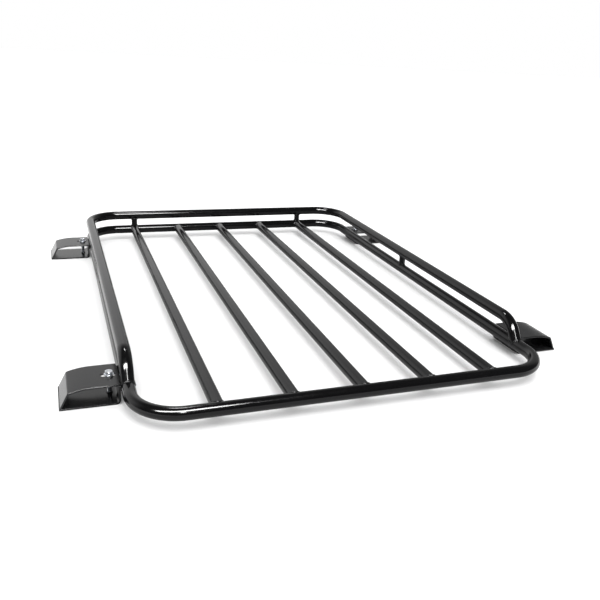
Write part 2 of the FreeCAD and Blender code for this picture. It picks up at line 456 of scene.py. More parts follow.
@dataclass(frozen=True)
class ZincPlate:
    """Bright zinc plating over machined steel, a little cloudy and blue, with fine scratches."""

    name: str = "bright_zinc_plate"
    bright: Colour = (0.80, 0.81, 0.83, 1.0)
    cloudy: Colour = (0.55, 0.58, 0.63, 1.0)
    hollow_tone: Colour = (0.10, 0.095, 0.085, 1.0)
    smooth: float = 0.16
    rough: float = 0.34
    scuff_dulling: float = 0.2
    grain_depth: float = 0.03 * MM

    def material(self, effects: Effects) -> bpy.types.Material:
        """Builds the plating.

        Args:
            effects: The shared node groups.

        Returns:
            The finished material.
        """
        material, tree, shader = blank_material(self.name)
        cloud = effects.place(tree, "mottle", Slow=260.0, Quick=1400.0)
        hairs = effects.place(tree, "hair_scratches", Across=3200.0, Along=180.0, Amount=0.6)
        # Darker in the hollows, where Pointiness finds the surface turning inwards.
        pointed = add_node(tree, "NewGeometry").outputs["Pointiness"]
        hollow = ranged(tree, pointed, 0.42, 0.49, 0.7, 0.0)
        plated = blended(tree, ranged(tree, cloud, *MOTTLED, 0.0, 1.0), self.bright, self.cloudy)
        feed(tree, blended(tree, hollow, plated, self.hollow_tone), shader.inputs["Base Color"])
        shader.inputs["Metallic"].default_value = 1.0
        even = ranged(tree, cloud, *MOTTLED, self.smooth, self.rough)
        feed(tree, total(tree, even, product(tree, hairs, self.scuff_dulling)), shader.inputs["Roughness"])
        bump(tree, total(tree, cloud, hairs), shader, self.grain_depth, 0.5)
        return material


@dataclass(frozen=True)
class StudioPaper:
    """The matt white sweep that the rack stands on, with painted shade in its reflections: glossy rays see it
    darker inside the ring, less dark in front of it, and undimmed beside it.
    """

    name: str = "studio_paper"
    grey: Colour = (0.90, 0.90, 0.90, 1.0)
    white: Colour = (0.92, 0.92, 0.92, 1.0)
    unlit: Colour = (0.0, 0.0, 0.0, 1.0)
    front_shine: float = 0.65
    side_shine: float = 1.0
    inner_shine: float = 0.36
    front_fade: Flat = (-0.6, -0.2)
    side_fade: Flat = (0.40, 0.50)

    def material(self, effects: Effects) -> bpy.types.Material:
        """Builds the paper.

        Args:
            effects: The shared node groups.

        Returns:
            The finished material.
        """
        material, tree, shader = blank_material(self.name)
        patches = effects.place(tree, "mottle", Slow=1.5, Quick=400.0)
        tone = blended(tree, patches, self.grey, self.white)
        place = add_node(tree, "SeparateXYZ")
        feed(tree, object_coordinates(tree), place.inputs[0])
        front = ranged(tree, place.outputs["Y"], *self.front_fade, self.front_shine, self.inner_shine)
        sideways = maths(tree, "ABSOLUTE", place.outputs["X"])
        side = ranged(tree, sideways, *self.side_fade, self.inner_shine, self.side_shine)
        # Painted shade: to glossy rays the paper is darkened by where it lies, most inside the ring, less in
        # front of it, not at all beside it.
        shade_depth = maths(tree, "SUBTRACT", 1.0, maths(tree, "MAXIMUM", front, side))
        painted_reflection_shade = product(tree, add_node(tree, "LightPath").outputs["Is Glossy Ray"], shade_depth)
        feed(tree, blended(tree, painted_reflection_shade, tone, self.unlit), shader.inputs["Base Color"])
        feed(tree, ranged(tree, patches, 0.3, 0.7, 0.85, 0.95), shader.inputs["Roughness"])
        shader.inputs["Specular IOR Level"].default_value = 0.1
        return material


GLOSS_BLACK = PowderCoat(
    "gloss_black_powder_coat", deep=(0.0018, 0.0018, 0.0020, 1.0), pale=(0.0042, 0.0042, 0.0046, 1.0),
    smooth=0.09, rough=0.15, peel_depth=0.018 * MM, wear=0.06, dust=0.003,
)
SATIN_BLACK = PowderCoat(
    "satin_black_powder_coat", deep=(0.0030, 0.0030, 0.0034, 1.0), pale=(0.0070, 0.0070, 0.0076, 1.0),
    smooth=0.15, rough=0.22, peel_depth=0.04 * MM, wear=0.14, dust=0.006,
)
WELD_BLACK = PowderCoat(
    "powder_coat_over_weld", deep=(0.0022, 0.0022, 0.0025, 1.0), pale=(0.0055, 0.0055, 0.0060, 1.0),
    smooth=0.14, rough=0.22, peel_depth=0.04 * MM, wear=0.10, dust=0.004,
)


class Finishes:
    """Every material of the rack, made once."""

    def __init__(self) -> None:
        """Builds the node groups and the materials."""
        effects = Effects()
        self.frame = GLOSS_BLACK.material(effects)
        self.clamp = SATIN_BLACK.material(effects)
        self.weld = WELD_BLACK.material(effects)
        self.zinc = ZincPlate().material(effects)
        self.paper = StudioPaper().material(effects)


# ---- Sizes read from the frame -----------------------------------------------------------------------------
@dataclass(frozen=True)
class RackSizes:
    """Where the tubes lie, in metres."""

    tube_r: float
    ring_z: float
    rail_z: float
    half_width: float
    half_length: float
    slat_r: float
    post_r: float
    tube_wall: float = 1.5 * MM
    slat_wall: float = 1.2 * MM
    corner_radius: float = 82.0 * MM
    rail_setback: float = 174.0 * MM
    rail_bend_radius: float = 57.0 * MM
    rail_bend_angle: float = math.radians(57.0)

    @property
    def inset_x(self) -> float:
        """Half the straight length of the ring's front and back."""
        return self.half_width - self.corner_radius

    @property
    def inset_y(self) -> float:
        """Half the straight length of the ring's sides."""
        return self.half_length - self.corner_radius

    @classmethod
    def from_frame(cls) -> "RackSizes":
        """Reads the sizes off the CAD nodes' boxes.

        Returns:
            The sizes.
        """
        low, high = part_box("front_hoop")
        tube_r = (high.z - low.z) / 2
        rail_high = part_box("upper_rail")[1]
        slat_low, slat_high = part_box("slat_1")
        post_low, post_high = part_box("rear_post_left")
        return cls(
            tube_r=tube_r,
            ring_z=(low.z + high.z) / 2,
            rail_z=rail_high.z - tube_r,
            half_width=(high.x - low.x) / 2 - tube_r,
            half_length=-low.y - tube_r,
            slat_r=(slat_high.x - slat_low.x) / 2,
            post_r=(post_high.x - post_low.x) / 2,
        )


# ---- Mesh tools --------------------------------------------------------------------------------------------
@dataclass(frozen=True)
class Station:
    """One place on a tube's centreline: a point and the way the tube runs there."""

    point: Vector
    heading: Vector


def straight(start: Vector, end: Vector, pitch: float = 40 * MM) -> list[Station]:
    """Stations along a straight run.

    Args:
        start: The first point.
        end: The last point.
        pitch: The longest step between stations.

    Returns:
        The stations, both ends included.
    """
    steps = max(1, math.ceil((end - start).length / pitch))
    heading = (end - start).normalized()
    return [Station(start.lerp(end, i / steps), heading) for i in range(steps + 1)]


def bend(centre: Vector, start: Vector, axis: Vector, angle: float, steps: int = 32) -> list[Station]:
    """Stations round an arc.

    Args:
        centre: The arc's centre.
        start: Its first point.
        axis: The axis it turns about, by the right-hand rule.
        angle: How far it turns, in radians.
        steps: How many steps it takes.

    Returns:
        The stations, both ends included.
    """
    arm = start - centre
    stations = []
    for i in range(steps + 1):
        turned = Matrix.Rotation(angle * i / steps, 3, axis) @ arm
        stations.append(Station(centre + turned, axis.cross(turned).normalized() * math.copysign(1, angle)))
    return stations


def joined(*stretches: Sequence[Station]) -> list[Station]:
    """One run of stations out of several, with each shared end kept once.

    Args:
        stretches: The runs, in order.

    Returns:
        The whole run.
    """
    route: list[Station] = []
    for stretch in stretches:
        route.extend(stretch if not route else stretch[1:])
    return route


@dataclass(frozen=True)
class Cope:
    """The round bar that a tube's end is cut to fit against."""

    point: Vector
    axis: Vector
    radius: float

    def meet(self, point: Vector, heading: Vector) -> Vector:
        """Where a line first meets the bar.

        Args:
            point: A point of the line.
            heading: Its direction, towards the bar.

        Returns:
            The meeting point, or the line's nearest point to the bar if it misses.
        """
        across = heading - self.axis * heading.dot(self.axis)
        offset = point - self.point
        offset -= self.axis * offset.dot(self.axis)
        square = across.length_squared
        lean = across.dot(offset)
        root = max(0.0, lean * lean - square * (offset.length_squared - self.radius ** 2))
        return point + heading * ((-lean - math.sqrt(root)) / square)


def carried_frames(route: Sequence[Station]) -> list[tuple[Vector, Vector]]:
    """Two cross directions at each station, carried along without twist.

    Args:
        route: The stations.

    Returns:
        A pair of unit vectors for each.
    """
    heading = route[0].heading
    across = heading.cross(UPRIGHT)
    if across.length < 0.1:
        across = heading.cross(ACROSS)
    across.normalize()
    frames = []
    for station in route:
        across = heading.rotation_difference(station.heading) @ across
        heading = station.heading
        frames.append((across.copy(), heading.cross(across)))
    return frames


def around(centre: Vector, across: Vector, up: Vector, radius: float, count: int) -> list[Vector]:
    """Points round a circle that lies in the plane of two directions."""
    turns = [FULL_TURN * i / count for i in range(count)]
    return [centre + (across * math.cos(turn) + up * math.sin(turn)) * radius for turn in turns]


def finish_mesh(bm: Mesh, name: str, sharp: float = 35.0) -> bpy.types.Object:
    """Turns a bmesh into an object with smooth faces and sharp edges where they turn hard.

    Args:
        bm: The mesh, which is freed.
        name: The object's name.
        sharp: The angle above which an edge is sharp, in degrees.

    Returns:
        The object, linked to the scene.
    """
    bmesh.ops.recalc_face_normals(bm, faces=bm.faces)
    mesh = bpy.data.meshes.new(name)
    bm.to_mesh(mesh)
    bm.free()
    mesh.shade_smooth()
    mesh.set_sharp_from_angle(angle=math.radians(sharp))
    piece = bpy.data.objects.new(name, mesh)
    bpy.context.scene.collection.objects.link(piece)
    return piece


def bridge(bm: Mesh, first: Ring, second: Ring) -> None:
    """Makes quads between two closed rings of vertices.

    Args:
        bm: The mesh that gets them.
        first: One ring.
        second: The other, of the same count.
    """
    count = len(first)
    for i in range(count):
        j = (i + 1) % count
        bm.faces.new((first[i], first[j], second[j], second[i]))


def loft(bm: Mesh, lines: Iterable[Sequence[Sequence[float]]]) -> list[Ring]:
    """Makes a ring of vertices for each closed line, with quads from each to the next.

    Args:
        bm: The mesh that gets them.
        lines: The lines, each a row of points and all of the same count.

    Returns:
        The rings, in order.
    """
    rings = [[bm.verts.new(point) for point in line] for line in lines]
    for first, second in zip(rings, rings[1:]):
        bridge(bm, first, second)
    return rings


def cap(bm: Mesh, rings: Sequence[Ring]) -> None:
    """Closes a loft with a face over its first ring and one over its last."""
    for ring in (rings[0], rings[-1]):
        bm.faces.new(ring)


def meeting_line(
    route: Sequence[Station], radius: float, cope: Cope, which: TubeEnd, count: int
) -> list[Vector]:
    """The closed line where a tube meets the bar that it is coped to.

    Args:
        route: The tube's stations.
        radius: The tube's radius, outside or in.
        cope: The bar.
        which: The tube's end.
        count: Points in the line.

    Returns:
        The points, in order.
    """
    first = which is TubeEnd.START
    station, inner = route[which.value], route[1 if first else -2]
    heading = -station.heading if first else station.heading
    run_up = (inner.point - station.point) * 0.5
    ring = around(station.point, *carried_frames(route)[which.value], radius, count)
    return [cope.meet(point + run_up, heading) for point in ring]


def tube_lines(
    route: Sequence[Station], radius: float, sides: int, copes: Sequence[Cope | None]
) -> list[list[Vector]]:
    """The circles along a tube, the end ones bent to meet their copes.

    Args:
        route: The tube's stations.
        radius: The circles' radius.
        sides: Points in a circle.
        copes: The start's and the end's cope, or None for a square end.

    Returns:
        The lines, in order.
    """
    pairs = zip(route, carried_frames(route))
    lines = [around(station.point, *directions, radius, sides) for station, directions in pairs]
    for which, cope in zip(TubeEnd, copes):
        if cope is not None:
            lines[which.value] = meeting_line(route, radius, cope, which, sides)
    return lines


def hollow_tube(
    name: str, route: Sequence[Station], radius: float, wall: float,
    copes: Sequence[Cope | None] = (None, None), sides: int = 64,
) -> bpy.types.Object:
    """A hollow tube with its true wall, square or coped at each end.

    Args:
        name: The object's name.
        route: Its stations.
        radius: Its outside radius.
        wall: Its wall's thickness.
        copes: What its start and end are cut to fit.
        sides: Vertices round the tube.

    Returns:
        The tube.
    """
    bm = bmesh.new()
    outside, inside = (loft(bm, tube_lines(route, r, sides, copes)) for r in (radius, radius - wall))
    for which in TubeEnd:
        bridge(bm, outside[which.value], inside[which.value])
    return finish_mesh(bm, name)


@dataclass(frozen=True)
class BeadStyle:
    """How a weld bead looks: its size and the ripples left by each dab of the torch."""

    radius: float = 1.7 * MM
    ripple_pitch: float = 2.1 * MM
    ripple_depth: float = 0.13
    unevenness: float = 0.16
    lumps_per_metre: float = 140.0
    end_share: float = 0.35
    end_growth: float = 6.0
    sides: int = 14
    points_per_ripple: int = 7

    def bead(self, name: str, line: Sequence[Vector], closed: bool) -> bpy.types.Object:
        """Sweeps a rippled bead along a line.

        Args:
            name: The object's name.
            line: The bead's centreline, closely spaced.
            closed: Whether the line meets itself.

        Returns:
            The bead.
        """
        bm = bmesh.new()
        count = len(line)
        travelled = 0.0
        circles = []
        for i, point in enumerate(line):
            behind = line[i - 1] if closed or i else point
            ahead = line[(i + 1) % count] if closed or i < count - 1 else point
            heading = (ahead - behind).normalized()
            travelled += (point - behind).length
            phase = travelled / self.ripple_pitch % 1.0
            ripple = 1 + self.ripple_depth * (0.5 - phase)
            uneven = 1 + self.unevenness * noise.noise(point * self.lumps_per_metre)
            grown = self.end_share + self.end_growth * min(i, count - 1 - i) / count
            radius = self.radius * ripple * uneven * (1.0 if closed else min(1.0, grown))
            across = heading.cross(OFF_AXIS).normalized()
            circles.append(around(point, across, heading.cross(across), radius, self.sides))
        rings = loft(bm, circles)
        if closed:
            self.close_loop(bm, rings)
        else:
            cap(bm, rings)
        return finish_mesh(bm, name, sharp=60.0)

    @staticmethod
    def close_loop(bm: Mesh, rings: Sequence[Ring]) -> None:
        """Joins the last ring to the first, from the vertex that lies nearest.

        Args:
            bm: The mesh.
            rings: The bead's rings.
        """
        last, first = rings[-1], rings[0]
        shift = min(range(len(first)), key=lambda k: (first[k].co - last[0].co).length)
        bridge(bm, last, first[shift:] + first[:shift])

    def points_for(self, length: float) -> int:
        """How many points a line of this length needs."""
        return max(12, int(length / self.ripple_pitch * self.points_per_ripple))


def dress(piece: bpy.types.Object, material: bpy.types.Material, coat: Coat, body: str, *nodes: str) -> None:
    """Gives a piece its material and body, and hides the CAD nodes that it stands for.

    Args:
        piece: The object.
        material: Its material.
        coat: The record's slot; not used.
        body: The body it rides on.
        nodes: CAD nodes that it replaces.
    """
    piece.data.materials.append(material)
    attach(piece, body)
    if nodes:
        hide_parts(*nodes)
    LOG.info("%s rides on %s, %d faces", piece.name, body, len(piece.data.polygons))


# ---- Frame -------------------------------------------------------------------------------------------------
@dataclass
class TubeFrame:
    """The welded frame: two hoops, the upper rail, the slats and the four posts."""

    sizes: RackSizes
    finishes: Finishes
    bead: BeadStyle = BeadStyle()
    seam: BeadStyle = BeadStyle(radius=0.55 * MM, ripple_depth=0.05, unevenness=0.3)

    def build(self) -> None:
        """Builds and dresses every tube and its welds."""
        for end in End:
            self.hoop(end)
        self.upper_rail()
        for index in range(1, 6):
            self.slat(index)
        for side in Side:
            self.post(f"rear_post_{side.word}", ACROSS)
            self.post(f"side_post_{side.word}", LENGTHWISE)
            self.hoop_seam(side)

    def tube(self, node: str, route: Sequence[Station], radius: float, wall: float,
             copes: Sequence[Cope | None] = (None, None)) -> None:
        """Makes one tube that stands for one CAD node."""
        piece = hollow_tube(f"{node}_tube", route, radius, wall, copes)
        dress(piece, self.finishes.frame, Coat.FRAME, "root", node)

    def weld(self, name: str, route: Sequence[Station], radius: float, cope: Cope, which: TubeEnd,
             stretch: float = 1.1) -> None:
        """Makes the weld round one coped end of a tube.

        Args:
            name: The bead's name.
            route: The tube's stations.
            radius: Its outside radius.
            cope: The bar that it meets.
            which: The tube's end.
            stretch: How much longer than the tube's own round the bead is.
        """
        count = self.bead.points_for(FULL_TURN * radius * stretch)
        piece = self.bead.bead(name, meeting_line(route, radius, cope, which, count), closed=True)
        dress(piece, self.finishes.weld, Coat.FRAME, "root")

    def welded_bar(self, node: str, route: Sequence[Station], radius: float, wall: float,
                   copes: Sequence[Cope], words: Sequence[str]) -> None:
        """Makes a straight tube, coped and welded to a bar at each end.

        Args:
            node: The CAD node that it stands for.
            route: Its stations.
            radius: Its outside radius.
            wall: Its wall's thickness.
            copes: The bars at its start and end.
            words: What the two ends are called.
        """
        self.tube(node, route, radius, wall, copes)
        for word, cope, which in zip(words, copes, TubeEnd):
            self.weld(f"{node}_{word}_weld", route, radius, cope, which)

    def hoop(self, end: End) -> None:
        """Makes one half of the ring, from mid-length on the left round to mid-length on the right.

        Args:
            end: The end that it closes.
        """
        s = self.sizes
        wide, z = s.half_width, s.ring_z
        side_y, end_y = end.value * s.inset_y, end.value * s.half_length
        quarter = -end.value * RIGHT_ANGLE
        left, right = Vector((-wide, side_y, z)), Vector((s.inset_x, end_y, z))
        route = joined(
            straight(Vector((-wide, 0, z)), left),
            bend(Vector((-s.inset_x, side_y, z)), left, UPRIGHT, quarter),
            straight(Vector((-s.inset_x, end_y, z)), right),
            bend(Vector((s.inset_x, side_y, z)), right, UPRIGHT, quarter),
            straight(Vector((wide, side_y, z)), Vector((wide, 0, z))),
        )
        self.tube(f"{end.word}_hoop", route, s.tube_r, s.tube_wall)

    def rail_leg(self) -> list[Station]:
        """The left front leg of the upper rail: up the slope and round to level.

        Returns:
            The stations, from the foot.
        """
        s = self.sizes
        angle, radius = s.rail_bend_angle, s.rail_bend_radius
        centre = Vector((-s.half_width, s.rail_setback - s.half_length, s.rail_z - radius))
        low = centre + Matrix.Rotation(angle, 3, ACROSS) @ Vector((0, 0, radius))
        slope = Vector((0, -math.cos(angle), -math.sin(angle)))
        foot = low + slope * ((low.z - s.ring_z) / math.sin(angle))
        return joined(straight(foot, low), bend(centre, low, ACROSS, -angle, steps=24))

    def upper_rail(self) -> None:
        """Makes the U-shaped rail, with a weld round each front foot."""
        s = self.sizes
        wide, z = s.half_width, s.rail_z
        leg = self.rail_leg()
        corner = Vector((-wide, s.inset_y, z))
        left = joined(
            leg,
            straight(leg[-1].point, corner),
            bend(Vector((-s.inset_x, s.inset_y, z)), corner, UPRIGHT, -RIGHT_ANGLE),
            straight(Vector((-s.inset_x, s.half_length, z)), Vector((0, s.half_length, z))),
        )
        mirror, reverse = Vector((-1, 1, 1)), Vector((1, -1, -1))
        right = [Station(station.point * mirror, station.heading * reverse) for station in reversed(left)]
        route = joined(left, right)
        copes = [Cope(Vector((side.value * wide, 0, s.ring_z)), LENGTHWISE, s.tube_r) for side in Side]
        self.tube("upper_rail", route, s.tube_r, s.tube_wall, copes)
        for side, cope, which in zip(Side, copes, TubeEnd):
            self.weld(f"rail_foot_{side.word}_weld", route, s.tube_r, cope, which, stretch=1.2)

    def slat(self, index: int) -> None:
        """Makes one slat between the ring's front and back.

        Args:
            index: Its number, from the left.
        """
        s = self.sizes
        low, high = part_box(f"slat_{index}")
        x = (low.x + high.x) / 2
        route = straight(*(Vector((x, end.value * s.half_length, s.ring_z)) for end in End))
        copes = [Cope(Vector((0, end.value * s.half_length, s.ring_z)), ACROSS, s.tube_r) for end in End]
        self.welded_bar(f"slat_{index}", route, s.slat_r, s.slat_wall, copes, [end.word for end in End])

    def post(self, node: str, along: Vector) -> None:
        """Makes one short post between the ring and the rail.

        Args:
            node: The CAD node that it stands for.
            along: The way the ring and the rail run there.
        """
        s = self.sizes
        low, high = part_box(node)
        middle = (low + high) / 2
        ends = [Vector((middle.x, middle.y, z)) for z in (s.ring_z, s.rail_z)]
        copes = [Cope(end, along, s.tube_r) for end in ends]
        self.welded_bar(node, straight(*ends, pitch=5 * MM), s.post_r, s.tube_wall, copes, ("foot", "head"))

    def hoop_seam(self, side: Side) -> None:
        """Makes the dressed butt weld where the two hoops meet.

        Args:
            side: The side of the ring.
        """
        s = self.sizes
        centre = Vector((side.value * s.half_width, 0, s.ring_z))
        count = self.seam.points_for(FULL_TURN * s.tube_r)
        line = around(centre, ACROSS, UPRIGHT, s.tube_r - self.seam.radius * 0.75, count)
        piece = self.seam.bead(f"hoop_seam_{side.word}_weld", line, closed=True)
        dress(piece, self.finishes.frame, Coat.FRAME, "root")


# ---- Clamps ------------------------------------------------------------------------------------------------
@dataclass(frozen=True)
class ClampSizes:
    """The bent sheet and fasteners of a clamp, in metres, in the right side's own XZ plane."""

    wall_x: float
    plate_edge_x: float
    bolt_x: float
    jaw_top: float
    head_top: float
    half_depth: float
    washer_r: float
    jaw_edge_x: float
    sheet: float = 3.5 * MM
    flat: float = 43.5 * MM
    crown_run: float = 42.0 * MM
    crown_drop: float = 6.3 * MM
    corner_radius: float = 6.0 * MM
    wall_lean: float = math.radians(27.0)
    bracket_bend: float = 8.5 * MM
    slot_in: float = 6.0 * MM
    slot_out: float = 9.3 * MM
    slot_r: float = 5.0 * MM
    hole_r: float = 4.3 * MM
    hexagon: float = 13.0 * MM
    head_height: float = 5.3 * MM
    bush_r: float = 5.5 * MM
    bush_flange_r: float = 7.0 * MM
    bush_flange: float = 1.2 * MM
    bush_proud: float = 2.0 * MM
    thread_r: float = 3.95 * MM
    thread_pitch: float = 1.25 * MM
    thread_length: float = 24.0 * MM
    edge_round: float = 1.5 * MM
    turned_round: float = 0.35 * MM
    fit: float = 0.02 * MM
    bush_bore_r: float = 4.6 * MM
    bush_groove: float = 0.45 * MM
    bush_lead: float = 0.3 * MM
    washer_gap: float = 0.03 * MM
    head_dish: float = 0.25 * MM
    head_soft: float = 0.12 * MM
    bolt_groove: float = 0.62 * MM

    @classmethod
    def from_frame(cls) -> "ClampSizes":
        """Reads the sizes off the front right clamp's boxes.

        Returns:
            The sizes.
        """
        bracket_low, bracket_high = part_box("bracket_front_right")
        jaw_low, jaw_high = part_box("jaw_front_right")
        washer_low, washer_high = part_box("washer_front_right")
        return cls(
            wall_x=bracket_low.x,
            plate_edge_x=bracket_high.x,
            bolt_x=(washer_low.x + washer_high.x) / 2,
            jaw_top=jaw_high.z,
            head_top=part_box("bolt_front_right")[1].z,
            half_depth=(jaw_high.y - jaw_low.y) / 2,
            washer_r=(washer_high.x - washer_low.x) / 2,
            jaw_edge_x=jaw_low.x,
        )


def arc_points(centre: Flat, radius: float, start: float, end: float, steps: int) -> list[Flat]:
    """Points of an arc in a plane.

    Args:
        centre: The arc's centre.
        radius: Its radius.
        start: Its first angle, in radians.
        end: Its last angle.
        steps: How many steps it takes.

    Returns:
        The points, both ends included.
    """
    angles = [start + (end - start) * i / steps for i in range(steps + 1)]
    return [(centre[0] + radius * math.cos(angle), centre[1] + radius * math.sin(angle)) for angle in angles]


def apply_modifiers(piece: bpy.types.Object) -> None:
    """Makes a piece's modifiers part of its mesh.

    Args:
        piece: The object.
    """
    bpy.context.view_layer.update()
    graph = bpy.context.evaluated_depsgraph_get()
    mesh = bpy.data.meshes.new_from_object(piece.evaluated_get(graph))
    piece.modifiers.clear()
    piece.data = mesh
    mesh.name = piece.name


def round_edges(piece: bpy.types.Object, width: float) -> None:
    """Rounds a piece's hard edges, as a deburred and coated edge is.

    Args:
        piece: The object.
        width: The rounding's width.
    """
    modifier = piece.modifiers.new("deburred", "BEVEL")
    modifier.limit_method = "ANGLE"
    modifier.angle_limit = math.radians(40)
    modifier.width = width
    modifier.segments = 3
    modifier.use_clamp_overlap = True
    modifier.harden_normals = True
    apply_modifiers(piece)


def prism(name: str, outline: Sequence[Flat], half_depth: float) -> bpy.types.Object:
    """A solid from an outline in the XZ plane, centred on y = 0.

    Args:
        name: The object's name.
        outline: The outline's points.
        half_depth: Half the solid's depth.

    Returns:
        The solid.
    """
    bm = bmesh.new()
    cap(bm, loft(bm, ([(x, y, z) for x, z in outline] for y in (-half_depth, half_depth))))
    return finish_mesh(bm, name, sharp=30.0)


def cut_slot(piece: bpy.types.Object, ends: Flat, radius: float, heights: Flat) -> None:
    """Cuts an upright round-ended slot, or a round hole where both ends are one point.

    Args:
        piece: The object that is cut.
        ends: The centres of the slot's two ends, along X.
        radius: Half the slot's width.
        heights: The cutter's lowest and highest points.
    """
    inner, outer = ends
    if inner == outer:
        outline = arc_points((inner, 0.0), radius, 0.0, FULL_TURN, steps=40)[:-1]
    else:
        outline = arc_points((outer, 0.0), radius, -RIGHT_ANGLE, RIGHT_ANGLE, steps=20)
        outline += arc_points((inner, 0.0), radius, RIGHT_ANGLE, 3 * RIGHT_ANGLE, steps=20)
    bm = bmesh.new()
    cap(bm, loft(bm, ([(x, y, z) for x, y in outline] for z in heights)))
    cutter = finish_mesh(bm, "slot_cutter")
    modifier = piece.modifiers.new("slot", "BOOLEAN")
    modifier.operation = "DIFFERENCE"
    modifier.solver = "EXACT"
    modifier.object = cutter
    apply_modifiers(piece)
    bpy.data.objects.remove(cutter)


def turned_piece(name: str, rows: Sequence[Row], sides: int, looped: bool, sharp: float) -> bpy.types.Object:
    """A turned or hexagonal piece about the Z axis, from rows that give a radius and height at each angle.

    Args:
        name: The object's name.
        rows: Functions of the angle, from one end of the outline to the other.
        sides: Vertices round the axis.
        looped: Whether the outline closes on itself, as a washer's does.
        sharp: The angle above which an edge is sharp, in degrees.

    Returns:
        The piece, on the Z axis.
    """
    circles = []
    for row in rows:
        circle = []
        for i in range(sides):
            turn = FULL_TURN * i / sides
            radius, height = row(turn)
            circle.append((radius * math.cos(turn), radius * math.sin(turn), height))
        circles.append(circle)
    bm = bmesh.new()
    rings = loft(bm, circles)
    if looped:
        bridge(bm, rings[-1], rings[0])
    else:
        cap(bm, rings)
    return finish_mesh(bm, name, sharp)


def level(radius: float, height: float) -> Row:
    """A plain round row."""
    return lambda turn: (radius, height)


def hexagon_radius(flats: float, turn: float) -> float:
    """A hexagon's radius at an angle, with flats facing along X."""
    sixth = math.pi / 3
    return flats / 2 / math.cos((turn + sixth / 2) % sixth - sixth / 2)


def hexagon_row(flats: float, height: float, inset: float = 0.0) -> Row:
    """A level hexagonal row, drawn in by an inset."""
    return lambda turn: (hexagon_radius(flats, turn) - inset, height)


def chamfer_row(flats: float, end_z: float, lower: float = 0.0, inset: float = 0.0) -> Row:
    """The row where a hexagon's side meets the cone that its corners are turned to.

    Args:
        flats: The hexagon's width over its flats.
        end_z: The height of its flat upper end.
        lower: How far the row lies below the true edge.
        inset: How far it is drawn in.

    Returns:
        The row.
    """
    end_r = flats / 2 * HEXAGON_FACE

    def row(turn: float) -> Flat:
        """One point of the row.

        Args:
            turn: The angle, in radians.

        Returns:
            Its radius and height.
        """
        radius = hexagon_radius(flats, turn)
        return radius - inset, end_z - ((radius - end_r) * math.tan(math.radians(30)) + lower)

    return row


def thread_row(radius: float, pitch: float, height: float, depth: float) -> Row:
    """A row across a right-hand thread.

    Args:
        radius: The thread's crest radius.
        pitch: Its pitch.
        height: The row's height.
        depth: The groove's depth here.

    Returns:
        The row.
    """

    def row(turn: float) -> Flat:
        """One point of the row.

        Args:
            turn: The angle, in radians.

        Returns:
            Its radius and height.
        """
        phase = (height / pitch - turn / FULL_TURN) % 1.0
        groove = max(0.0, 1.25 * (1 - abs(2 * phase - 1)) - 0.125)
        return radius - depth * min(1.0, groove), height

    return row


